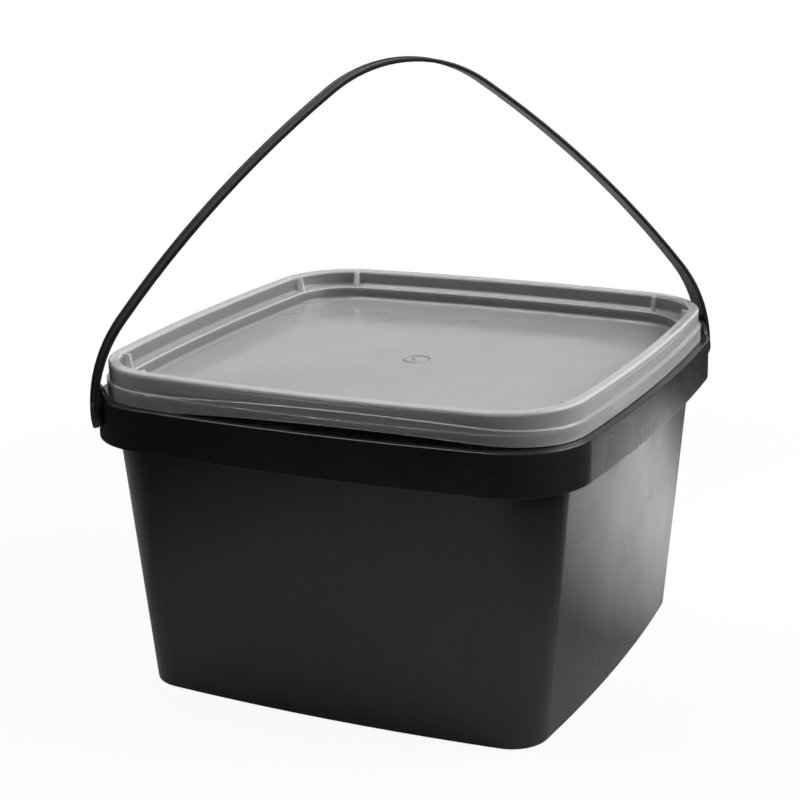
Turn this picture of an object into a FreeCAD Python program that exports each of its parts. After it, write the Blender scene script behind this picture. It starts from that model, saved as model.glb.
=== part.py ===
import FreeCAD, Part
import math
import os
import types

import Sketcher

# Square bucket with a snap-on lid and a strap handle that swings on two corner ears.
# Frame: origin at the middle of the base, +Z up, sides along X and Y, millimetres.
# The handle's pivots lie on the diagonal from the (-X, -Y) corner to the (+X, +Y) corner.

# Driving dimensions: alias, value, what it measures
SIZES = (
    ("rim_half", 100.0, "half the width across the middle of the lid's rim"),
    ("rim_corner", 32.0, "corner radius of the lid's rim, seen from above"),
    ("bow_reach", 770.0, "each side is an arc whose centre lies this far past the middle axis"),
    ("tub_corner_shift", 4.0, "how far the tub's corner centres lie outside the lid's"),
    ("shoulder_height", 120.4, "top of the tub's shoulder above the base"),
    ("shoulder_margin", 3.8, "the skirt's outer face stands this far outside the lid's rim"),
    ("shoulder_thick", 1.6, "thickness of the shoulder"),
    ("shoulder_round", 0.6, "rounding of the shoulder's outer edge"),
    ("skirt_drop", 16.4, "height of the skirt that hangs from the shoulder"),
    ("skirt_wall", 1.5, "wall of the skirt and of the ears"),
    ("mouth_inset", 2.45, "the tub's wall at the shoulder stands this far inside the lid's rim"),
    ("wall_lean", 10.75, "how far the wall leans in from the shoulder down to the base"),
    ("tub_wall", 1.5, "wall of the tub"),
    ("floor_thick", 1.6, "floor of the tub"),
    ("foot_width", 3.0, "width of the ring that the tub stands on"),
    ("foot_rise", 2.5, "the floor's underside lies this far above the foot ring"),
    ("base_round", 0.9, "rounding of the outer bottom edge"),
    ("floor_round", 3.0, "rounding between floor and wall inside"),
    ("rim_height", 4.0, "the tub's rim above the shoulder"),
    ("rim_wall", 1.3, "wall of the tub's rim"),
    ("rim_round", 0.4, "rounding of the rim's top edges"),
    ("rib_thick", 1.2, "stiffening ribs between wall and skirt"),
    ("rib_drop", 9.0, "height of the stiffening ribs"),
    ("rib_near", 19.0, "inner pair of ribs, from the middle of a side"),
    ("rib_far", 57.0, "outer pair of ribs, from the middle of a side"),
    ("ear_radius", 11.8, "the ears are round about the pivots"),
    ("pivot_drop", 6.6, "handle pivots below the top of the shoulder"),
    ("fit_gap", 0.35, "clearance on each side of the tub's rim in the lid's channel"),
    ("seat_gap", 0.3, "clearance under the lid's sealing ring"),
    ("edge_gap", 0.3, "gap between the shoulder and the lid's lower edge"),
    ("lid_depth", 12.9, "height of the lid's outer wall"),
    ("lid_wall", 1.2, "upright walls of the lid"),
    ("roof_thick", 1.3, "flat top of the lid's rim"),
    ("rim_edge_round", 0.8, "rounding of the lid's outer top edge"),
    ("rim_inner_round", 0.6, "rounding of the rim's edge into the recess"),
    ("band_height", 5.8, "height of the lid's wider lower band"),
    ("band_step", 1.0, "the lower band stands this far outside the upper band"),
    ("recess_depth", 6.7, "from the rim's top down to the ledge"),
    ("ledge_width", 4.3, "width of the ledge"),
    ("ledge_thick", 1.3, "thickness of the ledge"),
    ("ledge_round", 0.5, "rounding of the ledge's inner edge"),
    ("cove_round", 1.6, "rounding at the foot of the recess wall and of the panel's wall"),
    ("panel_drop", 5.4, "from the ledge down to the middle panel"),
    ("panel_thick", 1.3, "thickness of the middle panel"),
    ("seal_thick", 1.0, "sealing ring that hangs in the lid's channel"),
    ("gusset_thick", 1.3, "gussets in the lid's recess"),
    ("gusset_reach", 2.6, "depth of a gusset at its top"),
    ("gusset_drop", 0.5, "a gusset's top below the rim's top"),
    ("gusset_shift", 6.0, "the gussets stand this far past the ends of a side, in the corners"),
    ("bead_proud", 0.6, "the bead's lower edge stands this far out at its middle"),
    ("bead_lip", 0.2, "the bead's upper edge stands this far out at its middle"),
    ("bead_tall", 3.3, "height of the bead"),
    ("bead_drop", 2.0, "the bead's top below the lid's top"),
    ("relief_start", 54.0, "the finger relief begins this far from the middle of the lid's front edge"),
    ("relief_end_share", 0.87, "how far round the corner it ends, as a share of the corner's radius"),
    ("relief_rise", 2.7, "the lower band arches up this far at the relief's middle"),
    ("gate_radius", 6.0, "ring mark in the middle of the panel"),
    ("gate_width", 1.4, "width of the ring mark"),
    ("gate_depth", 0.4, "depth of the ring mark"),
    ("nub_radius", 1.3, "nub in the middle of the ring mark"),
    ("nub_height", 0.5, "height of the nub"),
    ("strap_width", 10.0, "width of the handle strap"),
    ("strap_thick", 1.6, "thickness of the handle strap"),
    ("strap_edge", 0.4, "rounding of the strap's long edges"),
    ("strap_gap", 1.2, "gap between the strap and the skirt at a pivot"),
    ("strap_rise", 127.8, "from the pivots up to the middle of the strap at its top"),
    ("leg_straight", 0.5, "the strap's legs run straight up this far from the pivots"),
    ("lower_bend", 56.0, "bend of the strap beside the lid, at its middle line"),
    ("leg_bow", 441.0, "gentle bow of the strap's legs, at its middle line"),
    ("crown_bend", 54.3, "bend at the top of the strap, at its middle line"),
    ("groove_width", 5.4, "shallow groove along the strap's outer face"),
    ("groove_depth", 0.3, "depth of that groove"),
    ("pin_radius", 2.0, "pivot pins of the handle"),
    ("pin_fit", 0.1, "running clearance around a pin"),
    ("collar_inset", 0.4, "the collar around a pin stands this far inside the strap's edge"),
    ("collar_gap", 0.5, "play between the collar and the skirt"),
    ("head_lip", 1.2, "the snap head stands this far out around its pin"),
    ("head_thick", 1.6, "thickness of the head"),
    ("head_chamfer", 0.7, "lead-in of the head"),
    ("head_gap", 0.4, "play between the head and the skirt"),
    ("overrun", 2.0, "how far a cut runs past the face that it opens"),
)

V = FreeCAD.Vector
UP = V(0, 0, 1)
START, END, CENTRE = range(1, 4)
X_LINE, Y_LINE = range(-1, -3, -1)
ORIGIN_POINT = (X_LINE, START)
SIDES = 4
PIVOTS = 2
FULL_TURN = 360
DIAGONAL_TURN = FULL_TURN / SIDES / 2
HANDLE_TURN = -1.7
ROOT_TWO = math.sqrt(2)
FINE = 1e-6

doc = FreeCAD.newDocument("bucket")
sheet = doc.addObject("Spreadsheet::Sheet", "Sizes")
for row, (alias, value, remark) in enumerate(SIZES, start=1):
    sheet.set(f"A{row}", alias)
    sheet.set(f"B{row}", str(value))
    sheet.set(f"C{row}", remark)
    sheet.setAlias(f"B{row}", alias)
doc.recompute()


class Size:
    """A length: its expression on the sheet, and its present value."""

    def __init__(self, text, value):
        self.text = text
        self.value = value

    @staticmethod
    def of(item):
        return item if isinstance(item, Size) else Size(repr(item), item)

    def __add__(self, other):
        return Size(f"({self.text} + {other.text})", self.value + other.value)

    def __sub__(self, other):
        return Size(f"({self.text} - {other.text})", self.value - other.value)

    def __neg__(self):
        return Size(f"(0 - {self.text})", -self.value)

    def __mul__(self, other):
        other = Size.of(other)
        return Size(f"({self.text} * {other.text})", self.value * other.value)

    def __truediv__(self, other):
        other = Size.of(other)
        return Size(f"({self.text} / {other.text})", self.value / other.value)

    def root(self):
        return Size(f"sqrt({self.text})", math.sqrt(self.value))


ZERO = Size("0", 0)
s = types.SimpleNamespace()
for alias, value, remark in SIZES:
    setattr(s, alias, Size(f"Sizes.{alias}", float(sheet.get(alias))))

# Half sizes of the outlines, from the outside in
lid_in = s.rim_half - s.rim_corner
tub_in = lid_in + s.tub_corner_shift
skirt_half = s.rim_half + s.shoulder_margin
band_half = s.rim_half + s.band_step
channel_half = s.rim_half - s.lid_wall
lead_half = band_half - s.lid_wall
rim_outer = channel_half - s.fit_gap
rim_inner = rim_outer - s.rim_wall
recess_outer = rim_inner - s.fit_gap
recess_half = recess_outer - s.lid_wall
panel_half = recess_half - s.ledge_width
plug_half = panel_half + s.lid_wall
mouth_half = s.rim_half - s.mouth_inset
base_half = mouth_half - s.wall_lean
seal_outer = (rim_outer + rim_inner + s.seal_thick) / 2
seal_inner = seal_outer - s.seal_thick

# Heights
pivot_height = s.shoulder_height - s.pivot_drop
skirt_foot = s.shoulder_height - s.skirt_drop
shoulder_under = s.shoulder_height - s.shoulder_thick
rim_top = s.shoulder_height + s.rim_height
floor_top = s.foot_rise + s.floor_thick
lid_foot = s.shoulder_height + s.edge_gap
lid_top = lid_foot + s.lid_depth
band_top = lid_foot + s.band_height
roof_under = lid_top - s.roof_thick
ledge_top = lid_top - s.recess_depth
ledge_under = ledge_top - s.ledge_thick
panel_top = ledge_top - s.panel_drop
panel_under = panel_top - s.panel_thick
lead_top = band_top - s.lid_wall


def corner_centre(corner_in):
    """Where an outline's corner arcs have their centres, along X and along Y."""
    reach = s.bow_reach
    across = reach + corner_in
    return ((across * across * 2 - reach * reach).root() - reach) / 2


def side_at(half, place):
    """Distance of a bowed side from the middle, at a place along the side."""
    radius = s.bow_reach + half
    return (radius * radius - place * place).root() - s.bow_reach


# Along the diagonal: the skirt's corner, then the strap's middle line
skirt_reach = corner_centre(tub_in) * ROOT_TWO + skirt_half - tub_in
skirt_inside = skirt_reach - s.skirt_wall
strap_half = skirt_reach + s.strap_gap + s.strap_thick / 2
strap_inside = strap_half - s.strap_thick / 2
strap_top = pivot_height + s.strap_rise
bend_start = pivot_height + s.leg_straight


def new_body(label):
    body = doc.addObject("PartDesign::Body", label.capitalize())
    body.Label = label
    return body


def origin_feature(body, role):
    return next(item for item in body.Origin.OriginFeatures if item.Role == role)


def new_sketch(body, name, role="XY_Plane", at=(ZERO, ZERO, ZERO), axis=UP, turn=0):
    """A sketch on one of the body's origin planes, shifted and turned in that plane's own axes."""
    sketch = body.newObject("Sketcher::SketchObject", name)
    sketch.AttachmentSupport = [(origin_feature(body, role), "")]
    sketch.MapMode = "FlatFace"
    sketch.AttachmentOffset = FreeCAD.Placement(
        V(*(item.value for item in at)), FreeCAD.Rotation(axis, turn))
    for letter, item in zip("xyz", at):
        if item is not ZERO:
            sketch.setExpression(f"AttachmentOffset.Base.{letter}", item.text)
    return sketch


def level_sketch(body, name, height):
    return new_sketch(body, name, at=(ZERO, ZERO, height))


def pivot_sketch(body, name, reach):
    """A sketch square to the diagonal, at a distance along it; its own Y is up."""
    along = reach / ROOT_TWO
    return new_sketch(body, name, "YZ_Plane", (along, ZERO, along), V(0, 1, 0), DIAGONAL_TURN)


def bind(sketch, constraint, name, size):
    index = sketch.addConstraint(constraint)
    sketch.renameConstraint(index, name)
    sketch.setExpression(f"Constraints.{name}", size.text)


def add_outline(sketch, half, corner_in):
    """A square with bowed sides and round corners: four side arcs and four corner arcs."""
    reach = s.bow_reach
    first = sketch.GeometryCount
    centre = corner_centre(corner_in).value
    spread = math.atan2(centre, centre + reach.value)
    quarter = math.pi / 2
    for side in range(SIDES):
        turn = side * quarter
        middle = V(-reach.value * math.cos(turn), -reach.value * math.sin(turn), 0)
        arc = Part.Circle(middle, UP, reach.value + half.value)
        sketch.addGeometry(Part.ArcOfCircle(arc, turn - spread, turn + spread))
        bent = turn + quarter / 2
        corner = V(centre * ROOT_TWO * math.cos(bent), centre * ROOT_TWO * math.sin(bent), 0)
        arc = Part.Circle(corner, UP, half.value - corner_in.value)
        sketch.addGeometry(Part.ArcOfCircle(arc, turn + spread, turn + quarter - spread))
    sides = [first + 2 * side for side in range(SIDES)]
    corners = [item + 1 for item in sides]
    for side in range(SIDES):
        following = sides[(side + 1) % SIDES]
        sketch.addConstraint(Sketcher.Constraint("Tangent", sides[side], END, corners[side], START))
        sketch.addConstraint(Sketcher.Constraint("Tangent", corners[side], END, following, START))
        line, kind = (X_LINE, "DistanceX") if side % 2 == 0 else (Y_LINE, "DistanceY")
        sketch.addConstraint(Sketcher.Constraint("PointOnObject", sides[side], CENTRE, line))
        ends = [(sides[side], CENTRE), ORIGIN_POINT]
        if side >= 2:
            ends.reverse()
        distance = Sketcher.Constraint(kind, *ends[0], *ends[1], reach.value)
        bind(sketch, distance, f"reach_{sides[side]}", reach)
    for group, name, size in ((sides, "side", reach + half), (corners, "corner", half - corner_in)):
        bind(sketch, Sketcher.Constraint("Radius", group[0], size.value), f"{name}_{first}", size)
        for item in group[1:]:
            sketch.addConstraint(Sketcher.Constraint("Equal", group[0], item))


def level_outline(body, name, height, corner_in, *halves):
    sketch = level_sketch(body, name, height)
    for half in halves:
        add_outline(sketch, half, corner_in)
    return sketch


def add_profile(sketch, points, bulges=None):
    """A closed line through points, with arcs on some of its runs.

    bulges maps a run's number to its arc: radius and which way it swells,
    1 to the left of the run and -1 to its right.
    """
    bulges = bulges or {}
    first = sketch.GeometryCount
    count = len(points)
    corners = [V(x.value, y.value, 0) for x, y in points]
    tails = {}
    for run in range(count):
        begin, finish = corners[run], corners[(run + 1) % count]
        if run not in bulges:
            sketch.addGeometry(Part.LineSegment(begin, finish))
            tails[run] = (START, END)
            continue
        radius, way = bulges[run]
        chord = finish - begin
        left = V(-chord.y, chord.x, 0).normalize() * way
        sagitta = radius.value - math.sqrt(max(radius.value ** 2 - chord.Length ** 2 / 4, 0))
        summit = (begin + finish) * 0.5 + left * sagitta
        sketch.addGeometry(Part.ArcOfCircle(begin, summit, finish))
        tails[run] = (START, END) if way < 0 else (END, START)
        name = f"bend_{first + run}"
        bind(sketch, Sketcher.Constraint("Radius", first + run, radius.value), name, radius)
    for run in range(count):
        after = (run + 1) % count
        sketch.addConstraint(Sketcher.Constraint(
            "Coincident", first + run, tails[run][1], first + after, tails[after][0]))
        for kind, size in zip(("DistanceX", "DistanceY"), points[run]):
            place = (first + run, tails[run][0])
            name = f"{kind[-1].lower()}_{first + run}"
            bind(sketch, Sketcher.Constraint(kind, *ORIGIN_POINT, *place, size.value), name, size)


def add_circle(sketch, radius, height=ZERO):
    """A circle on the sketch's own Y axis."""
    index = sketch.addGeometry(Part.Circle(V(0, height.value, 0), UP, radius.value))
    sketch.addConstraint(Sketcher.Constraint("PointOnObject", index, CENTRE, Y_LINE))
    place = Sketcher.Constraint("DistanceY", *ORIGIN_POINT, index, CENTRE, height.value)
    bind(sketch, place, f"up_{index}", height)
    bind(sketch, Sketcher.Constraint("Radius", index, radius.value), f"radius_{index}", radius)


def extrude(kind, body, name, sketch, length, down=False, both=False):
    """A Pad or Pocket; a Pad grows along the sketch's normal, a Pocket cuts against it."""
    feature = body.newObject(f"PartDesign::{kind}", name)
    feature.Profile = sketch
    feature.Length = length.value
    feature.setExpression("Length", length.text)
    feature.Reversed = down
    if both:
        feature.SideType = "Symmetric"
    doc.recompute()
    return feature


def pad(body, name, sketch, length, **ways):
    return extrude("Pad", body, name, sketch, length, **ways)


def cut_up(body, name, sketch, length):
    return extrude("Pocket", body, name, sketch, length, down=True)


def cut_down(body, name, sketch, length):
    return extrude("Pocket", body, name, sketch, length)


def loft(kind, body, name, lower, upper):
    feature = body.newObject(f"PartDesign::{kind}", name)
    feature.Profile = lower
    feature.Sections = [upper]
    feature.Ruled = True
    doc.recompute()
    return feature


def round_outline(body, name, radius, *places):
    """Rounds whole outlines, each found by its height, half size and corner centres."""
    base = body.Tip
    names = []
    for height, half, corner_in in places:
        names += outline_edges(base.Shape, height, half, corner_in)
    feature = body.newObject("PartDesign::Fillet", name)
    feature.Base = (base, names)
    feature.Radius = radius.value
    feature.setExpression("Radius", radius.text)
    doc.recompute()
    return feature


def outline_edges(shape, height, half, corner_in):
    """Names of the edges at a height that lie on one outline."""
    reach = s.bow_reach.value
    centre = corner_centre(corner_in).value
    radius = half.value - corner_in.value
    near = s.rim_round.value / 4
    names = []
    for number, edge in enumerate(shape.Edges, start=1):
        box = edge.BoundBox
        if abs(box.ZMin - height.value) > FINE or abs(box.ZMax - height.value) > FINE:
            continue
        middle = edge.valueAt((edge.FirstParameter + edge.LastParameter) / 2)
        across = sorted((abs(middle.x), abs(middle.y)))
        on_side = abs(math.hypot(across[0], across[1] + reach) - reach - half.value) < near
        corner_gap = math.hypot(across[0] - centre, across[1] - centre) - radius
        on_corner = across[0] > centre and abs(corner_gap) < near
        if on_side or on_corner:
            names.append(f"Edge{number}")
    return names


def polar(body, name, originals, count):
    feature = body.newObject("PartDesign::PolarPattern", name)
    feature.Originals = originals
    feature.Axis = (origin_feature(body, "Z_Axis"), [""])
    feature.Angle = FULL_TURN
    feature.Occurrences = count
    body.Tip = feature
    doc.recompute()
    return feature


def wall_half(height):
    """Half size of the tub's outer wall at a height."""
    return base_half + s.wall_lean * height / s.shoulder_height


def make_tub():
    body = new_body("tub")
    sketch = level_outline(body, "SkirtOutline", skirt_foot, tub_in, skirt_half)
    pad(body, "Skirt", sketch, s.skirt_drop)
    sketch = level_outline(body, "SkirtHollow", skirt_foot, tub_in, skirt_half - s.skirt_wall)
    cut_up(body, "UnderShoulder", sketch, shoulder_under - skirt_foot)

    lower = level_outline(body, "WallFoot", ZERO, tub_in, base_half)
    upper = level_outline(body, "WallHead", s.shoulder_height, tub_in, mouth_half)
    loft("AdditiveLoft", body, "Wall", lower, upper)
    sketch = level_outline(body, "RimOutline", s.shoulder_height, lid_in, rim_outer)
    pad(body, "Rim", sketch, s.rim_height)
    add_ribs(body)

    lower = level_outline(body, "FloorOutline", floor_top, tub_in, wall_half(floor_top) - s.tub_wall)
    upper = level_outline(body, "MouthOutline", s.shoulder_height, tub_in, mouth_half - s.tub_wall)
    loft("SubtractiveLoft", body, "Inside", lower, upper)
    sketch = level_outline(body, "RimBore", rim_top, lid_in, rim_inner)
    cut_down(body, "RimOpening", sketch, s.rim_height)
    foot_half = base_half - s.foot_width
    sketch = level_outline(body, "FootOutline", ZERO, tub_in, foot_half)
    cut_up(body, "FootRecess", sketch, s.foot_rise)

    floor_half = wall_half(floor_top) - s.tub_wall
    round_outline(body, "FloorRound", s.floor_round, (floor_top, floor_half, tub_in))
    round_outline(body, "BaseRound", s.base_round, (ZERO, base_half, tub_in))
    shoulder_edge = (s.shoulder_height, skirt_half, tub_in)
    round_outline(body, "ShoulderRound", s.shoulder_round, shoulder_edge)
    rim_edges = ((rim_top, rim_outer, lid_in), (rim_top, rim_inner, lid_in))
    round_outline(body, "RimRound", s.rim_round, *rim_edges)
    add_ears(body)
    return body


def add_ribs(body):
    """Stiffening ribs in the hollow between the wall and the skirt, four on each side."""
    sketch = level_sketch(body, "RibOutline", shoulder_under)
    root_half = wall_half(shoulder_under - s.rib_drop) - s.tub_wall / 2
    tip_half = skirt_half - s.skirt_wall / 2
    for place in (-s.rib_far, -s.rib_near, s.rib_near, s.rib_far):
        left = place - s.rib_thick / 2
        right = place + s.rib_thick / 2
        root = side_at(root_half, place)
        tip = side_at(tip_half, place)
        add_profile(sketch, [(root, left), (tip, left), (tip, right), (root, right)])
    ribs = pad(body, "Ribs", sketch, s.rib_drop, down=True)
    polar(body, "RibsAround", [ribs], SIDES)


def add_ears(body):
    """Two ears, where the skirt's wall rises past the shoulder, each with the hole for a pin."""
    centre = corner_centre(tub_in) * ROOT_TWO
    outer = skirt_reach - centre
    inner = outer - s.skirt_wall
    sketch = new_sketch(body, "EarOutline", at=(ZERO, ZERO, shoulder_under), turn=DIAGONAL_TURN)
    reaches = [centre + (radius * radius - s.ear_radius * s.ear_radius).root()
               for radius in (inner, outer)]
    points = [(reaches[0], -s.ear_radius), (reaches[1], -s.ear_radius),
              (reaches[1], s.ear_radius), (reaches[0], s.ear_radius)]
    add_profile(sketch, points, {1: (outer, -1), 3: (inner, 1)})
    ear_top = pivot_height + s.ear_radius
    ear = pad(body, "Ear", sketch, ear_top - shoulder_under)

    sketch = pivot_sketch(body, "EarCrown", skirt_reach + s.overrun)
    step = s.shoulder_height - pivot_height
    chord = (s.ear_radius * s.ear_radius - step * step).root()
    beyond = s.ear_radius + s.overrun
    above = ear_top + s.overrun
    points = [(-beyond, s.shoulder_height), (-chord, s.shoulder_height),
              (ZERO, ear_top), (chord, s.shoulder_height), (beyond, s.shoulder_height),
              (beyond, above), (-beyond, above)]
    add_profile(sketch, points, {1: (s.ear_radius, 1), 2: (s.ear_radius, 1)})
    rim_reach = corner_centre(lid_in) * ROOT_TWO + rim_outer - lid_in
    stop = (reaches[0] + rim_reach) / 2
    crown = cut_down(body, "EarRound", sketch, skirt_reach + s.overrun - stop)

    sketch = pivot_sketch(body, "PinHole", skirt_reach + s.overrun)
    add_circle(sketch, s.pin_radius + s.pin_fit, pivot_height)
    hole = cut_down(body, "PinBore", sketch, s.skirt_wall + s.overrun * 2)
    polar(body, "EarPair", [ear, crown, hole], PIVOTS)


def make_lid():
    body = new_body("lid")
    sketch = level_outline(body, "BandOutline", lid_foot, lid_in, band_half)
    pad(body, "LowerBand", sketch, s.band_height + s.relief_rise)
    arch_band(body)
    sketch = level_outline(body, "RimOutline", lead_top, lid_in, s.rim_half)
    pad(body, "UpperBand", sketch, lid_top - lead_top)
    sketch = level_outline(body, "UnderLedge", lid_foot, lid_in, lead_half)
    cut_up(body, "UnderLedgeHollow", sketch, ledge_under - lid_foot)
    sketch = level_outline(body, "LeadIn", lid_foot, lid_in, lead_half, recess_outer)
    cut_up(body, "LeadInHollow", sketch, lead_top - lid_foot)
    sketch = level_outline(body, "Channel", lid_foot, lid_in, channel_half, recess_outer)
    cut_up(body, "ChannelHollow", sketch, roof_under - lid_foot)
    sketch = level_outline(body, "SealOutline", roof_under, lid_in, seal_outer, seal_inner)
    pad(body, "SealRing", sketch, roof_under - rim_top - s.seat_gap, down=True)
    sketch = level_outline(body, "PlugOutline", ledge_under, lid_in, plug_half)
    pad(body, "Plug", sketch, ledge_under - panel_under, down=True)
    sketch = level_outline(body, "RecessOutline", lid_top, lid_in, recess_half)
    cut_down(body, "Recess", sketch, s.recess_depth)
    sketch = level_outline(body, "PanelOutline", ledge_top, lid_in, panel_half)
    cut_down(body, "PanelWell", sketch, s.panel_drop)

    round_outline(body, "RimEdgeRound", s.rim_edge_round, (lid_top, s.rim_half, lid_in))
    round_outline(body, "RimInnerRound", s.rim_inner_round, (lid_top, recess_half, lid_in))
    round_outline(body, "LedgeRound", s.ledge_round, (ledge_top, panel_half, lid_in))
    coves = ((ledge_top, recess_half, lid_in), (panel_top, panel_half, lid_in))
    round_outline(body, "CoveRound", s.cove_round, *coves)
    polar(body, "Around", add_gussets(body) + [add_bead(body)], SIDES)
    add_gate_mark(body)
    return body


def arch_band(body):
    """The lower band arches up along the front as a finger relief, and along the back turned about."""
    corner = corner_centre(lid_in)
    end = corner + (band_half - lid_in) * s.relief_end_share
    half = (s.relief_start + end) / 2
    radius = (half * half + s.relief_rise * s.relief_rise) / (s.relief_rise * 2)
    outside = band_half + s.overrun
    low = lid_foot - s.overrun
    high = band_top + s.relief_rise + s.overrun
    under = [(-s.relief_start, lid_foot), (-s.relief_start, low), (end, low), (end, lid_foot)]
    over = [(-outside, band_top), (-s.relief_start, band_top), (end, band_top), (outside, band_top),
            (outside, high), (-outside, high)]
    cuts = []
    for name, points, bulge in (("Relief", under, {3: (radius, -1)}), ("BandCrest", over, {1: (radius, 1)})):
        sketch = new_sketch(body, f"{name}Outline", "XZ_Plane", (ZERO, ZERO, outside))
        add_profile(sketch, points, bulge)
        cuts.append(cut_down(body, name, sketch, outside))
    polar(body, "ArchPair", cuts, PIVOTS)


def add_gussets(body):
    """Two thin gussets where one side runs into its corners, from the recess wall to the ledge."""
    shift = s.gusset_shift
    side_end = corner_centre(lid_in)
    place = side_end + shift
    radii = (half - lid_in for half in (recess_half + s.lid_wall / 2, recess_half, panel_half + s.ledge_round))
    wall, face, edge = (side_end + (radius * radius - shift * shift).root() for radius in radii)
    top = lid_top - s.gusset_drop
    bottom = ledge_top - s.ledge_thick / 2
    gussets = []
    for name, depth in (("Left", -place), ("Right", place)):
        sketch = new_sketch(body, f"{name}GussetOutline", "XZ_Plane", (ZERO, ZERO, depth))
        points = [(wall, top), (face - s.gusset_reach, top), (edge, ledge_top),
                  (edge, bottom), (wall, bottom)]
        add_profile(sketch, points)
        gussets.append(pad(body, f"{name}Gusset", sketch, s.gusset_thick, both=True))
    return gussets


def add_bead(body):
    """A slim bead along one side, wider downwards, that runs out to nothing where the corners begin."""
    side_end = corner_centre(lid_in)
    tip = side_at(s.rim_half, side_end)
    back = s.rim_half - s.lid_wall / 2
    back_tip = side_at(back, side_end)
    points = [(back_tip, -side_end), (tip, -side_end), (tip, side_end), (back_tip, side_end)]
    high = lid_top - s.bead_drop
    outlines = []
    for name, height, proud in (("Lower", high - s.bead_tall, s.bead_proud), ("Upper", high, s.bead_lip)):
        rise = s.rim_half + proud - tip
        radius = (side_end * side_end + rise * rise) / (rise * 2)
        sketch = level_sketch(body, f"{name}BeadOutline", height)
        add_profile(sketch, points, {1: (radius, -1), 3: (s.bow_reach + back, 1)})
        outlines.append(sketch)
    return loft("AdditiveLoft", body, "Bead", *outlines)


def add_gate_mark(body):
    """The ring mark and nub that moulding leaves in the middle of the panel."""
    sketch = level_sketch(body, "GateOutline", panel_top)
    add_circle(sketch, s.gate_radius)
    add_circle(sketch, s.gate_radius - s.gate_width)
    cut_down(body, "GateRing", sketch, s.gate_depth)
    sketch = level_sketch(body, "NubOutline", panel_top)
    add_circle(sketch, s.nub_radius)
    pad(body, "Nub", sketch, s.nub_height)


def add_strap_line(sketch):
    """The strap's middle line: upright legs, a bend beside the lid, bowed legs and the crown."""
    low_turn, high_turn = math.radians(38), math.radians(55)
    start = V(strap_half.value, bend_start.value, 0)
    radii = (s.lower_bend.value, s.leg_bow.value, s.crown_bend.value)
    turns = (0, low_turn, high_turn, math.pi / 2)
    centre = start - V(radii[0], 0, 0)
    arcs = []
    for step, radius in enumerate(radii):
        if step:
            way = V(math.cos(turns[step]), math.sin(turns[step]), 0)
            centre = centre + way * (radii[step - 1] - radius)
        arcs.append((centre, radius, turns[step], turns[step + 1]))
    foot = pivot_height.value
    right_leg = sketch.addGeometry(Part.LineSegment(V(start.x, foot, 0), start))
    right = [sketch.addGeometry(Part.ArcOfCircle(Part.Circle(middle, UP, radius), begin, finish))
             for middle, radius, begin, finish in arcs[:2]]
    middle, radius, begin, finish = arcs[2]
    crown_circle = Part.Circle(V(0, middle.y, 0), UP, radius)
    crown = sketch.addGeometry(Part.ArcOfCircle(crown_circle, begin, math.pi - begin))
    left = [sketch.addGeometry(Part.ArcOfCircle(
        Part.Circle(V(-middle.x, middle.y, 0), UP, radius), math.pi - finish, math.pi - begin))
        for middle, radius, begin, finish in reversed(arcs[:2])]
    left_leg = sketch.addGeometry(Part.LineSegment(V(-start.x, start.y, 0), V(-start.x, foot, 0)))
    chain = [right_leg] + right + [crown] + left + [left_leg]
    for one, following in zip(chain, chain[1:]):
        sketch.addConstraint(Sketcher.Constraint("Tangent", one, END, following, START))
    for leg, foot_end, bend_end, way in ((right_leg, START, END, 1), (left_leg, END, START, -1)):
        sketch.addConstraint(Sketcher.Constraint("Vertical", leg))
        across = strap_half if way > 0 else -strap_half
        for kind, end, size in (("DistanceX", foot_end, across), ("DistanceY", foot_end, pivot_height),
                                ("DistanceY", bend_end, bend_start)):
            place = Sketcher.Constraint(kind, *ORIGIN_POINT, leg, end, size.value)
            bind(sketch, place, f"leg_{leg}_{kind[-1].lower()}_{end}", size)
    for pair, name, size in (((right[0], left[1]), "lower_bend", s.lower_bend),
                             ((right[1], left[0]), "leg_bow", s.leg_bow)):
        bind(sketch, Sketcher.Constraint("Radius", pair[0], size.value), name, size)
        sketch.addConstraint(Sketcher.Constraint("Equal", *pair))
    bind(sketch, Sketcher.Constraint("Radius", crown, s.crown_bend.value), "crown_bend", s.crown_bend)
    sketch.addConstraint(Sketcher.Constraint("PointOnObject", crown, CENTRE, Y_LINE))
    peak = strap_top - s.crown_bend
    place = Sketcher.Constraint("DistanceY", *ORIGIN_POINT, crown, CENTRE, peak.value)
    bind(sketch, place, "peak", peak)


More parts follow.
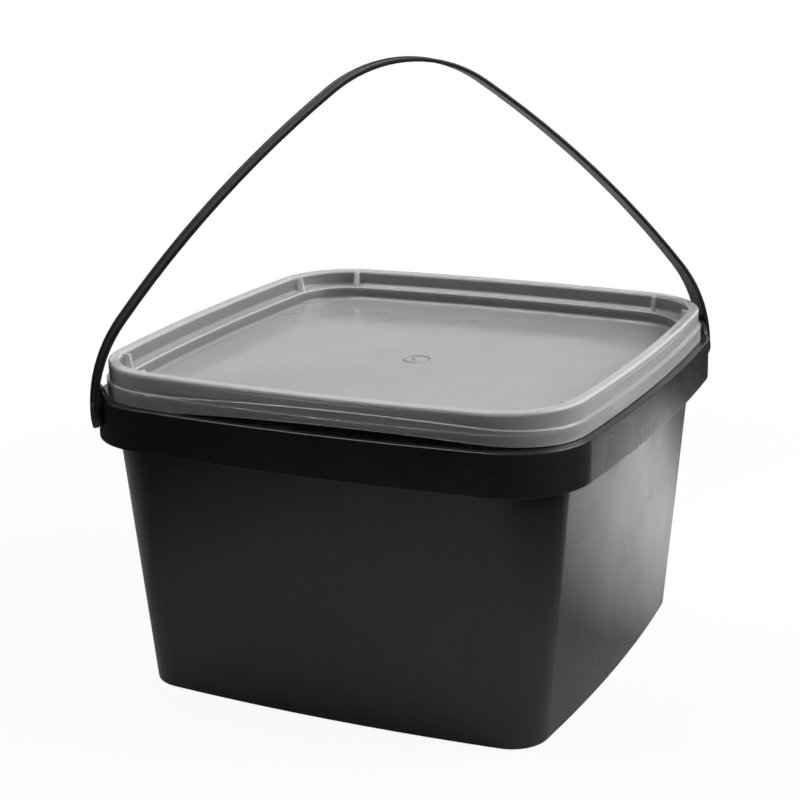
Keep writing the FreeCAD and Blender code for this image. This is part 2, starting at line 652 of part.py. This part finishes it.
def make_handle():
    body = new_body("handle")
    line = new_sketch(body, "StrapLine", "XZ_Plane", axis=V(0, 1, 0), turn=DIAGONAL_TURN)
    add_strap_line(line)

    along = strap_half / ROOT_TWO
    section = new_sketch(body, "StrapSection", at=(along, along, pivot_height), turn=DIAGONAL_TURN)
    face, side, edge = s.strap_thick / 2, s.strap_width / 2, s.strap_edge
    groove, deep = s.groove_width / 2, s.groove_depth
    points = [(face, edge - side), (face, -groove), (face - deep, deep - groove),
              (face - deep, groove - deep), (face, groove), (face, side - edge),
              (face - edge, side), (edge - face, side), (-face, side - edge),
              (-face, edge - side), (edge - face, -side), (face - edge, -side)]
    add_profile(section, points, {run: (edge, -1) for run in (5, 7, 9, 11)})
    strap = body.newObject("PartDesign::AdditivePipe", "Strap")
    strap.Profile = section
    strap.Spine = (line, [f"Edge{number}" for number in range(1, line.GeometryCount + 1)])
    doc.recompute()

    head_face = skirt_inside - s.head_gap
    collar_face = skirt_reach + s.collar_gap
    tongue = s.strap_width / 2
    steps = (("Tongue", tongue, strap_inside, s.strap_thick),
             ("Collar", tongue - s.collar_inset, collar_face, strap_inside - collar_face),
             ("Pin", s.pin_radius, head_face, collar_face - head_face),
             ("Head", s.pin_radius + s.head_lip, head_face - s.head_thick, s.head_thick))
    features = []
    for name, radius, reach, length in steps:
        sketch = pivot_sketch(body, f"{name}Outline", reach)
        add_circle(sketch, radius, pivot_height)
        features.append(pad(body, name, sketch, length))
    polar(body, "EndPair", features, PIVOTS)
    chamfer_heads(body, head_face - s.head_thick)
    lean_handle(body)
    return body


def chamfer_heads(body, reach):
    """The lead-in around the two snap heads."""
    base = body.Tip
    diagonal = V(1, 1, 0).normalize()
    names = []
    for number, edge in enumerate(base.Shape.Edges, start=1):
        places = [abs(edge.valueAt(at).dot(diagonal)) for at in (edge.FirstParameter, edge.LastParameter)]
        if max(abs(place - reach.value) for place in places) < s.head_chamfer.value / 2:
            names.append(f"Edge{number}")
    chamfer = body.newObject("PartDesign::Chamfer", "HeadLeadIn")
    chamfer.Base = (base, names)
    chamfer.Size = s.head_chamfer.value
    chamfer.setExpression("Size", s.head_chamfer.text)
    doc.recompute()


def lean_handle(body):
    """Leans the whole handle a little to the back, about the line through its pivots."""
    turn = math.radians(HANDLE_TURN)
    sway = pivot_height * (math.sin(turn) / ROOT_TWO)
    base = (-sway, sway, pivot_height * (1 - math.cos(turn)))
    places = V(*(item.value for item in base))
    body.Placement = FreeCAD.Placement(places, FreeCAD.Rotation(V(1, 1, 0), HANDLE_TURN))
    for letter, item in zip("xyz", base):
        body.setExpression(f"Placement.Base.{letter}", item.text)
    doc.recompute()


bodies = [make_tub(), make_lid(), make_handle()]
doc.recompute()
for item in doc.Objects:
    faults = {"Invalid", "Error"} & set(item.State)
    if faults:
        raise RuntimeError(f"{item.Label}: {sorted(faults)}")
for body in bodies:
    shape = body.Shape
    if shape.isNull() or not shape.isValid() or len(shape.Solids) != 1:
        raise RuntimeError(f"{body.Label}: not one valid solid")

os.makedirs("parts", exist_ok=True)
for body in bodies:
    body.Shape.exportStep(f"parts/{body.Label}.step")
    box = body.Shape.BoundBox
    print(body.Label, "volume", round(body.Shape.Volume), "box",
          [round(value, 2) for value in (box.XMin, box.YMin, box.ZMin, box.XMax, box.YMax, box.ZMax)])
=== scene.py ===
import math

import bpy
from mathutils import Matrix, Vector

# Square black bucket with a clouded lid and a strap handle, photographed on white.
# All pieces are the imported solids; this script gives them their finishes, the light and the camera.
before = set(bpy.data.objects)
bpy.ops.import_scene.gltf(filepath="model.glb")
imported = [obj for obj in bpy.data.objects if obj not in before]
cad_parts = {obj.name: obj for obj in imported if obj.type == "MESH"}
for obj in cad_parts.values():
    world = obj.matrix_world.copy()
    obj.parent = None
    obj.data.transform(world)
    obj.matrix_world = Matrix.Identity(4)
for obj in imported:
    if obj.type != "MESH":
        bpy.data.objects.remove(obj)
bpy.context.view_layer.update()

# Camera, fitted to the photograph (metres and degrees)
CAMERA_PLACE = Vector((0.3098, -0.6648, 0.31945))
CAMERA_YAW = math.radians(25.505)
CAMERA_PITCH = math.radians(16.350)
CAMERA_ROLL = math.radians(-1.258)
CAMERA_LENS = 84.25
FILM_WIDTH = 36.0


def node(tree, kind, inputs=None, **settings):
    """Adds a node; an input is a plain value, or a socket to link from."""
    item = tree.nodes.new(kind)
    for name, value in settings.items():
        setattr(item, name, value)
    for name, value in (inputs or {}).items():
        socket = item.inputs[name]
        if isinstance(value, bpy.types.NodeSocket):
            tree.links.new(value, socket)
        else:
            socket.default_value = value
    return item


def maths(tree, operation, first, second=0.0, clamp=False):
    return node(tree, "ShaderNodeMath", {0: first, 1: second},
                operation=operation, use_clamp=clamp).outputs[0]


def mixed(tree, share, first, second):
    """Blends two colours."""
    return node(tree, "ShaderNodeMix", {0: share, 6: first, 7: second}, data_type="RGBA").outputs[2]


def spread(tree, value, low, high, to_low=0.0, to_high=1.0, smooth=False):
    """Stretches a value from one range to another, held at the ends."""
    kind = "SMOOTHSTEP" if smooth else "LINEAR"
    return node(tree, "ShaderNodeMapRange", {
        "Value": value, "From Min": low, "From Max": high,
        "To Min": to_low, "To Max": to_high}, interpolation_type=kind).outputs["Result"]


def new_group(name, inputs, outputs):
    """An empty node group; sockets are (name, kind, preset)."""
    group = bpy.data.node_groups.new(name, "ShaderNodeTree")
    for direction, sockets in (("INPUT", inputs), ("OUTPUT", outputs)):
        for label, kind, preset in sockets:
            socket = group.interface.new_socket(label, in_out=direction, socket_type=kind)
            if preset is not None:
                socket.default_value = preset
    return group, group.nodes.new("NodeGroupInput"), group.nodes.new("NodeGroupOutput")


def placed(tree, group, inputs):
    """Puts a node group into a material, with its own values."""
    return node(tree, "ShaderNodeGroup", inputs, node_tree=group)


VECTOR, NUMBER = "NodeSocketVector", "NodeSocketFloat"

# Places on the lid, in metres
GUSSET_PLACE = 0.07144   # along a side, from its middle
GUSSET_THICK = 0.0013
GUSSET_FOOT = 0.0884     # where a gusset ends on the ledge, from the lid's middle
GUSSET_ROOT = 0.0924     # where it meets the recess wall
BOW_REACH = 0.770        # a side's arc has its centre this far past the middle
CORNER_CENTRE = 0.06544  # centre of a corner's arc, along X and along Y
CORNER_IN = 0.068        # an outline's half width less its corner radius
PANEL_HALF = 0.0905      # the panel's frosting ends here, just inside its wall
RECESS_HALF = 0.0956
LEDGE_EDGE = 0.1266      # height of the ledge's inner edge
RIM_LOW = 0.1324         # height at which the rim's painted highlight begins

# Colours
SCUFF_GREY = (0.07, 0.07, 0.07, 1.0)
DUST_ON_BLACK = (0.13, 0.125, 0.12, 1.0)
SPECK_ON_BLACK = (0.2, 0.2, 0.19, 1.0)
LID_CLEAR = ((0.50, 0.505, 0.505, 1.0), (0.56, 0.56, 0.555, 1.0))
LID_MILK = ((0.75, 0.755, 0.755, 1.0), (0.80, 0.80, 0.795, 1.0))
# painted shade on the recess's upright walls
LID_RECESS_SHADE = (0.22, 0.225, 0.225, 1.0)
# painted highlight: the pale colour laid on the lid's edges, gussets, ledge edge and rim
LID_PAINTED_HIGHLIGHT = (0.99, 0.99, 0.985, 1.0)
DUST_ON_LID = (0.62, 0.61, 0.59, 1.0)
WHITE = (1.0, 1.0, 1.0, 1.0)
PAPER_GREY = (0.8, 0.8, 0.8, 1.0)

# Plastics: edge rounding and relief in metres
BLACK_IOR = 1.5
BLACK_EDGE_ROUND = 0.0005
BLACK_DRAW_DEPTH = 0.00004
BLACK_GRAIN_DEPTH = 0.00002
LID_IOR = 1.49
LID_TRANSMISSION = 0.6
LID_EDGE_ROUND = 0.0006
LID_WAVE_DEPTH = 0.0004
LID_SKIN_DEPTH = 0.00001
# how strongly the painted shade darkens the recess's upright walls
LID_RECESS_SHADE_SHARE = 0.55

# Paper and surroundings
FLOOR_REACH = 3.0
FLOOR_HEIGHT = -0.0004
WHITE_NEAR = 0.92        # how far the paper beside the bucket is plain white; the rest takes its shadow
PAINTED_SHADE_PAPER = 0.03        # painted shade: the paper between the painted pools of light, as reflections and bounced light see it
WALL_LEVEL = 0.58
TOP_LEVELS = (0.06, 0.2)  # from low to high
WAY_BEHIND = Vector((0.5, 0.866, 0.0))


def make_grain_group():
    """The fine skin of a spark-eroded mould, its draw lines, and the slow waves of shrinking plastic."""
    group, given, result = new_group(
        "Moulded grain",
        [("Place", VECTOR, None), ("Grain Scale", NUMBER, 1800.0), ("Wave Scale", NUMBER, 22.0)],
        [("Grain", NUMBER, None), ("Wave", NUMBER, None), ("Draw", NUMBER, None), ("Cloud", NUMBER, None)])
    grain = node(group, "ShaderNodeTexNoise", {
        "Vector": given.outputs["Place"], "Scale": given.outputs["Grain Scale"], "Detail": 2.0})
    wave = node(group, "ShaderNodeTexNoise", {
        "Vector": given.outputs["Place"], "Scale": given.outputs["Wave Scale"], "Detail": 1.0})
    upright = node(group, "ShaderNodeMapping", {
        "Vector": given.outputs["Place"], "Scale": (120.0, 120.0, 9.0)})
    draw = node(group, "ShaderNodeTexNoise", {"Vector": upright.outputs[0], "Scale": 1.0, "Detail": 2.0})
    cloud = node(group, "ShaderNodeTexNoise", {
        "Vector": given.outputs["Place"], "Scale": 34.0, "Detail": 5.0, "Roughness": 0.6})
    for name, source in (("Grain", grain), ("Wave", wave), ("Draw", draw), ("Cloud", cloud)):
        group.links.new(source.outputs["Fac"], result.inputs[name])
    return group


def make_scuff_group():
    """Thin handling scratches in two directions, broken up into short strokes."""
    group, given, result = new_group(
        "Handling scuffs",
        [("Place", VECTOR, None), ("Amount", NUMBER, 0.5)],
        [("Scuff", NUMBER, None)])
    strokes = []
    for turn, stretch in (((0.3, 0.5, 0.4), (30.0, 900.0, 260.0)), ((1.1, -0.4, 1.9), (700.0, 24.0, 300.0))):
        turned = node(group, "ShaderNodeMapping", {
            "Vector": given.outputs["Place"], "Rotation": turn, "Scale": stretch})
        lines = node(group, "ShaderNodeTexNoise", {"Vector": turned.outputs[0], "Scale": 1.0, "Detail": 1.0})
        strokes.append(spread(group, lines.outputs["Fac"], 0.66, 0.74))
    patches = node(group, "ShaderNodeTexNoise", {
        "Vector": given.outputs["Place"], "Scale": 26.0, "Detail": 2.0})
    where = spread(group, patches.outputs["Fac"], 0.45, 0.7)
    both = maths(group, "MAXIMUM", strokes[0], strokes[1])
    broken = maths(group, "MULTIPLY", both, where)
    group.links.new(maths(group, "MULTIPLY", broken, given.outputs["Amount"]), result.inputs["Scuff"])
    return group


def make_dust_group():
    """Fine dust that settles on faces that look up, with a few larger specks."""
    group, given, result = new_group(
        "Settled dust",
        [("Place", VECTOR, None), ("Amount", NUMBER, 0.5)],
        [("Dust", NUMBER, None), ("Speck", NUMBER, None)])
    facing = node(group, "ShaderNodeNewGeometry")
    upright = node(group, "ShaderNodeSeparateXYZ", {0: facing.outputs["Normal"]}).outputs["Z"]
    lying = spread(group, upright, 0.1, 0.95)
    film = node(group, "ShaderNodeTexNoise", {"Vector": given.outputs["Place"], "Scale": 60.0, "Detail": 6.0})
    patches = spread(group, film.outputs["Fac"], 0.4, 0.75)
    dust = maths(group, "MULTIPLY", lying, patches)
    cells = node(group, "ShaderNodeTexVoronoi", {"Vector": given.outputs["Place"], "Scale": 240.0})
    specks = spread(group, cells.outputs["Distance"], 0.05, 0.11, 1.0, 0.0)
    chosen = node(group, "ShaderNodeSeparateColor", {0: cells.outputs["Color"]}).outputs[0]
    few = maths(group, "GREATER_THAN", chosen, 0.9)
    speck = maths(group, "MULTIPLY", specks, few)
    group.links.new(maths(group, "MULTIPLY", dust, given.outputs["Amount"]), result.inputs["Dust"])
    group.links.new(maths(group, "MULTIPLY", speck, given.outputs["Amount"]), result.inputs["Speck"])
    return group


GRAIN = make_grain_group()
SCUFFS = make_scuff_group()
DUST = make_dust_group()


def new_finish(name):
    """A material with one Principled BSDF; gives the material, its tree, shader and object place."""
    finish = bpy.data.materials.new(name)
    finish.use_nodes = True
    tree = finish.node_tree
    tree.nodes.clear()
    shader = node(tree, "ShaderNodeBsdfPrincipled")
    output = node(tree, "ShaderNodeOutputMaterial")
    tree.links.new(shader.outputs[0], output.inputs["Surface"])
    place = node(tree, "ShaderNodeTexCoord").outputs["Object"]
    return finish, tree, shader, place


def bumped(tree, height, distance, strength, below=None):
    inputs = {"Height": height, "Distance": distance, "Strength": strength}
    if below is not None:
        inputs["Normal"] = below
    return node(tree, "ShaderNodeBump", inputs).outputs[0]


def black_plastic(name, tint, rough, scuff_amount, dust_amount, wave_depth):
    """Satin black polypropylene with moulding grain, slow waves, handling scuffs and a little dust."""
    finish, tree, shader, place = new_finish(name)
    grain = placed(tree, GRAIN, {"Place": place})
    scuffs = placed(tree, SCUFFS, {"Place": place, "Amount": scuff_amount}).outputs["Scuff"]
    dust = placed(tree, DUST, {"Place": place, "Amount": dust_amount})

    pale = tuple(part * 1.5 for part in tint)
    colour = mixed(tree, grain.outputs["Cloud"], (*tint, 1.0), (*pale, 1.0))
    colour = mixed(tree, scuffs, colour, SCUFF_GREY)
    colour = mixed(tree, dust.outputs["Dust"], colour, DUST_ON_BLACK)
    colour = mixed(tree, dust.outputs["Speck"], colour, SPECK_ON_BLACK)
    tree.links.new(colour, shader.inputs["Base Color"])

    clouded = spread(tree, grain.outputs["Cloud"], 0.3, 0.7, rough - 0.04, rough + 0.05)
    worn = maths(tree, "ADD", clouded, maths(tree, "MULTIPLY", scuffs, 0.2))
    dusty = maths(tree, "ADD", worn, maths(tree, "MULTIPLY", dust.outputs["Dust"], 0.25), clamp=True)
    tree.links.new(dusty, shader.inputs["Roughness"])
    shader.inputs["IOR"].default_value = BLACK_IOR

    rounded = node(tree, "ShaderNodeBevel", {"Radius": BLACK_EDGE_ROUND}, samples=6).outputs[0]
    waves = bumped(tree, grain.outputs["Wave"], wave_depth, 1.0, rounded)
    drawn = bumped(tree, grain.outputs["Draw"], BLACK_DRAW_DEPTH, 1.0, waves)
    skin = bumped(tree, grain.outputs["Grain"], BLACK_GRAIN_DEPTH, 0.5, drawn)
    tree.links.new(skin, shader.inputs["Normal"])
    return finish


def outline_half(tree, along, out):
    """Half the width of the lid's rounded, slightly bowed outline that runs through a place."""
    reach = node(tree, "ShaderNodeCombineXYZ", {0: maths(tree, "ADD", out, BOW_REACH), 1: along}).outputs[0]
    arm = node(tree, "ShaderNodeCombineXYZ", {
        0: maths(tree, "SUBTRACT", out, CORNER_CENTRE),
        1: maths(tree, "SUBTRACT", along, CORNER_CENTRE)}).outputs[0]
    side, corner = (node(tree, "ShaderNodeVectorMath", {0: line}, operation="LENGTH").outputs["Value"]
                    for line in (reach, arm))
    return node(tree, "ShaderNodeMix", {
        0: maths(tree, "GREATER_THAN", along, CORNER_CENTRE),
        2: maths(tree, "SUBTRACT", side, BOW_REACH),
        3: maths(tree, "ADD", corner, CORNER_IN)}, data_type="FLOAT").outputs[0]


def lid_masks(tree, place, normal):
    """Masks over the lid: painted highlight on gussets, the ledge's inner edge and the rim, frosting on the
    middle panel, and painted shade on the recess's upright walls.
    """
    folded = node(tree, "ShaderNodeVectorMath", {0: place}, operation="ABSOLUTE").outputs[0]
    across = node(tree, "ShaderNodeSeparateXYZ", {0: folded})
    height = node(tree, "ShaderNodeSeparateXYZ", {0: place}).outputs["Z"]
    level = maths(tree, "ABSOLUTE", node(tree, "ShaderNodeSeparateXYZ", {0: normal}).outputs["Z"])
    along = maths(tree, "MINIMUM", across.outputs["X"], across.outputs["Y"])
    out = maths(tree, "MAXIMUM", across.outputs["X"], across.outputs["Y"])

    beside = maths(tree, "ABSOLUTE", maths(tree, "SUBTRACT", along, GUSSET_PLACE))
    thin = maths(tree, "LESS_THAN", beside, GUSSET_THICK / 2 + 0.0001)
    reach = maths(tree, "MULTIPLY", maths(tree, "GREATER_THAN", out, GUSSET_FOOT),
                  maths(tree, "LESS_THAN", out, GUSSET_ROOT))
    gusset_highlight = maths(tree, "MULTIPLY", thin, reach)

    half = outline_half(tree, along, out)
    panel = spread(tree, half, PANEL_HALF - 0.002, PANEL_HALF, 1.0, 0.0)
    inside = maths(tree, "LESS_THAN", half, RECESS_HALF + 0.0006)
    off_edge = maths(tree, "ABSOLUTE", maths(tree, "SUBTRACT", height, LEDGE_EDGE))
    ledge_highlight = maths(tree, "MULTIPLY", spread(tree, off_edge, 0.0002, 0.0005, 1.0, 0.0), inside)
    rim_highlight = spread(tree, height, RIM_LOW, RIM_LOW + 0.0007)
    # Painted shade: the recess's upright walls, darkened in the lid's colour.
    upright = maths(tree, "MULTIPLY", spread(tree, level, 0.2, 0.6, 1.0, 0.0), inside)
    return gusset_highlight, panel, ledge_highlight, rim_highlight, upright


def clouded_plastic():
    """Natural polypropylene: clear where it is seen square on, milky at a slant, with painted highlight at
    its edges, gussets, ledge edge and rim, and painted shade on the recess's upright walls.
    """
    finish, tree, shader, place = new_finish("Clouded lid plastic")
    grain = placed(tree, GRAIN, {"Place": place, "Wave Scale": 30.0})
    scuffs = placed(tree, SCUFFS, {"Place": place, "Amount": 0.5}).outputs["Scuff"]
    dust = placed(tree, DUST, {"Place": place, "Amount": 0.2})

    rounded = node(tree, "ShaderNodeBevel", {"Radius": LID_EDGE_ROUND}, samples=8).outputs[0]
    flat = node(tree, "ShaderNodeNewGeometry").outputs["Normal"]
    bend = node(tree, "ShaderNodeVectorMath", {0: rounded, 1: flat}, operation="DOT_PRODUCT").outputs["Value"]
    edge_highlight = spread(tree, bend, 0.86, 0.985, 1.0, 0.0)
    gusset_highlight, panel, ledge_highlight, rim_highlight, upright = lid_masks(tree, place, flat)
    # Painted highlight: edges, gussets, the ledge's inner edge and the rim take the pale colour.
    pale = edge_highlight
    for mask in (gusset_highlight, ledge_highlight, rim_highlight):
        pale = maths(tree, "MAXIMUM", pale, mask)

    slant = node(tree, "ShaderNodeLayerWeight", {"Blend": 0.5}).outputs["Facing"]
    milky = spread(tree, slant, 0.15, 0.7)
    clear = mixed(tree, grain.outputs["Cloud"], *LID_CLEAR)
    milk = mixed(tree, grain.outputs["Cloud"], *LID_MILK)
    colour = mixed(tree, milky, clear, milk)
    # Painted shade on the recess's upright walls.
    colour = mixed(tree, maths(tree, "MULTIPLY", upright, LID_RECESS_SHADE_SHARE), colour, LID_RECESS_SHADE)
    colour = mixed(tree, pale, colour, LID_PAINTED_HIGHLIGHT)
    colour = mixed(tree, dust.outputs["Dust"], colour, DUST_ON_LID)
    tree.links.new(colour, shader.inputs["Base Color"])

    clouded = spread(tree, grain.outputs["Cloud"], 0.3, 0.7, 0.04, 0.08)
    frosted = maths(tree, "ADD", clouded, maths(tree, "MULTIPLY", panel, 0.08))
    worn = maths(tree, "ADD", frosted, maths(tree, "MULTIPLY", scuffs, 0.12), clamp=True)
    tree.links.new(worn, shader.inputs["Roughness"])
    shader.inputs["IOR"].default_value = LID_IOR
    shader.inputs["Transmission Weight"].default_value = LID_TRANSMISSION

    waves = bumped(tree, grain.outputs["Wave"], LID_WAVE_DEPTH, 1.0, rounded)
    skin = bumped(tree, grain.outputs["Grain"], LID_SKIN_DEPTH, 0.05, waves)
    tree.links.new(bumped(tree, scuffs, LID_SKIN_DEPTH, 0.3, skin), shader.inputs["Normal"])
    return finish


def dress(name, finish):
    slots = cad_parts[name].data.materials
    if not slots:
        slots.append(finish)
    for index in range(len(slots)):
        slots[index] = finish


dress("tub", black_plastic("Black tub plastic", (0.012, 0.012, 0.0125), 0.25, 0.04, 0.15, 0.0004))
dress("handle", black_plastic("Black strap plastic", (0.009, 0.009, 0.0093), 0.36, 0.1, 0.1, 0.0003))
dress("lid", clouded_plastic())


def make_camera():
    forward = Vector((-math.sin(CAMERA_YAW) * math.cos(CAMERA_PITCH),
                      math.cos(CAMERA_YAW) * math.cos(CAMERA_PITCH), -math.sin(CAMERA_PITCH)))
    level = Vector((math.cos(CAMERA_YAW), math.sin(CAMERA_YAW), 0.0))
    upward = level.cross(forward)
    right = math.cos(CAMERA_ROLL) * level + math.sin(CAMERA_ROLL) * upward
    top = -math.sin(CAMERA_ROLL) * level + math.cos(CAMERA_ROLL) * upward
    data = bpy.data.cameras.new("Photo camera")
    data.sensor_width = FILM_WIDTH
    data.lens = CAMERA_LENS
    data.clip_start = 0.01
    camera = bpy.data.objects.new("Photo camera", data)
    turn = Matrix((right, top, -forward)).transposed().to_4x4()
    camera.matrix_world = Matrix.Translation(CAMERA_PLACE) @ turn
    bpy.context.scene.collection.objects.link(camera)
    bpy.context.scene.camera = camera


def flat_sheet(name, low, high, height):
    """A level rectangle from one corner to the other."""
    mesh = bpy.data.meshes.new(name)
    corners = [(low[0], low[1], height), (high[0], low[1], height),
               (high[0], high[1], height), (low[0], high[1], height)]
    mesh.from_pydata(corners, [], [(0, 1, 2, 3)])
    sheet = bpy.data.objects.new(name, mesh)
    bpy.context.scene.collection.objects.link(sheet)
    return sheet


# Painted pools of light on the paper, seen only in reflections and bounced light: middle, half sizes, turn in
# degrees, plain share, level
PAINTED_LIGHT_POOLS = (
    ((0.01, -0.12, 0.0), (0.27, 0.27), 0.0, 0.37, 0.48),
    ((-0.25, 0.45, 0.0), (0.34, 0.34), 0.0, 0.35, 0.80),
    ((0.166, 0.202, 0.0), (0.100, 0.25), -22.6, 0.46, 0.74),
    ((-0.23, 0.0, 0.0), (0.17, 0.24), 0.0, 0.35, 0.45),
)


def make_floor():
    """White paper for the camera, with the bucket's soft shadow; for reflections and bounced light it is
    painted with pools of light and painted shade between them.
    """
    floor = flat_sheet("Paper floor", (-FLOOR_REACH, -FLOOR_REACH), (FLOOR_REACH, FLOOR_REACH), FLOOR_HEIGHT)
    paper = bpy.data.materials.new("White paper")
    paper.use_nodes = True
    tree = paper.node_tree
    tree.nodes.clear()
    lit = node(tree, "ShaderNodeBsdfDiffuse", {"Color": PAPER_GREY})
    white = node(tree, "ShaderNodeEmission", {"Color": WHITE, "Strength": 1.0})
    place = node(tree, "ShaderNodeTexCoord").outputs["Object"]
    out = node(tree, "ShaderNodeVectorMath", {0: place}, operation="LENGTH").outputs["Value"]
    whiteness = spread(tree, out, 0.2, 0.45, WHITE_NEAR, 1.0, smooth=True)
    seen = node(tree, "ShaderNodeMixShader", {0: whiteness, 1: lit.outputs[0], 2: white.outputs[0]})

    # Painted light: each pool brightens the paper's colour for every ray but the camera's.
    pool = None
    for middle, sizes, turn, inner, level in PAINTED_LIGHT_POOLS:
        local = node(tree, "ShaderNodeMapping", {
            "Vector": place, "Location": middle, "Rotation": (0.0, 0.0, math.radians(turn)),
            "Scale": (*sizes, 1.0)}, vector_type="TEXTURE").outputs[0]
        away = node(tree, "ShaderNodeVectorMath", {0: local}, operation="LENGTH").outputs["Value"]
        # Painted shade: outside the pools the paper's colour falls to a near black.
        patch = spread(tree, away, inner, 1.0, level, PAINTED_SHADE_PAPER, smooth=True)
        pool = patch if pool is None else maths(tree, "MAXIMUM", pool, patch)
    shade = node(tree, "ShaderNodeCombineXYZ", {0: pool, 1: pool, 2: pool}).outputs[0]
    painted_pool_paper = node(tree, "ShaderNodeBsdfDiffuse", {"Color": shade})

    ray = node(tree, "ShaderNodeLightPath")
    blend = node(tree, "ShaderNodeMixShader", {
        0: ray.outputs["Is Camera Ray"], 1: painted_pool_paper.outputs[0], 2: seen.outputs[0]})
    output = node(tree, "ShaderNodeOutputMaterial")
    tree.links.new(blend.outputs[0], output.inputs["Surface"])
    floor.data.materials.append(paper)


def make_world():
    """White for the camera and through the lid; as light, a bright wall behind, dim top, dark front."""
    world = bpy.data.worlds.new("Studio")
    world.use_nodes = True
    bpy.context.scene.world = world
    tree = world.node_tree
    tree.nodes.clear()
    way = node(tree, "ShaderNodeTexCoord").outputs["Generated"]
    rise = node(tree, "ShaderNodeSeparateXYZ", {0: way}).outputs["Z"]
    behind = WAY_BEHIND.normalized()
    facing = node(tree, "ShaderNodeVectorMath", {0: way, 1: behind}, operation="DOT_PRODUCT")
    wall = spread(tree, facing.outputs["Value"], -0.1, 0.5, smooth=True)
    low = spread(tree, rise, 0.45, 0.85, WALL_LEVEL, 0.0, smooth=True)
    top = spread(tree, rise, 0.3, 0.9, *TOP_LEVELS, smooth=True)
    level = maths(tree, "ADD", maths(tree, "MULTIPLY", wall, low), top)
    light = node(tree, "ShaderNodeBackground", {"Color": WHITE, "Strength": level})
    white = node(tree, "ShaderNodeBackground", {"Color": WHITE, "Strength": 1.0})
    ray = node(tree, "ShaderNodeLightPath")
    seen = maths(tree, "MAXIMUM", ray.outputs["Is Camera Ray"], ray.outputs["Is Transmission Ray"])
    blend = node(tree, "ShaderNodeMixShader", {0: seen, 1: light.outputs[0], 2: white.outputs[0]})
    output = node(tree, "ShaderNodeOutputWorld")
    tree.links.new(blend.outputs[0], output.inputs["Surface"])


BUCKET_MIDDLE = Vector((0.0, 0.0, 0.1))


def hang_lamp(name, data, place, target):
    """Puts a lamp in its place, turned to its target."""
    lamp = bpy.data.objects.new(name, data)
    turn = (target - place).to_track_quat("-Z", "Y").to_matrix().to_4x4()
    lamp.matrix_world = Matrix.Translation(place) @ turn
    bpy.context.scene.collection.objects.link(lamp)


def make_lamp(name, place, width, depth, watts):
    """A rectangular soft lamp that looks at the bucket."""
    data = bpy.data.lights.new(name, "AREA")
    data.shape = "RECTANGLE"
    data.size = width
    data.size_y = depth
    data.energy = watts
    hang_lamp(name, data, place, BUCKET_MIDDLE)


def make_floor_spot(name, place, target, angle, watts):
    """A narrow lamp that lights only the paper beside and behind the bucket."""
    data = bpy.data.lights.new(name, "SPOT")
    data.energy = watts
    data.spot_size = math.radians(angle)
    data.spot_blend = 1.0
    data.shadow_soft_size = 0.03
    hang_lamp(name, data, place, target)


make_camera()
make_floor()
make_world()
make_lamp("Softbox on the right", Vector((1.0, 0.25, 0.72)), 1.0, 0.7, 14.0)
make_lamp("Softbox overhead", Vector((-0.45, -0.15, 1.2)), 0.6, 0.6, 7.2)
make_floor_spot("Lamp on the paper", Vector((0.55, 1.16, 0.45)), Vector((0.165, 0.235, 0.0)), 9.4, 160.0)
bpy.context.scene.view_settings.view_transform = "Standard"
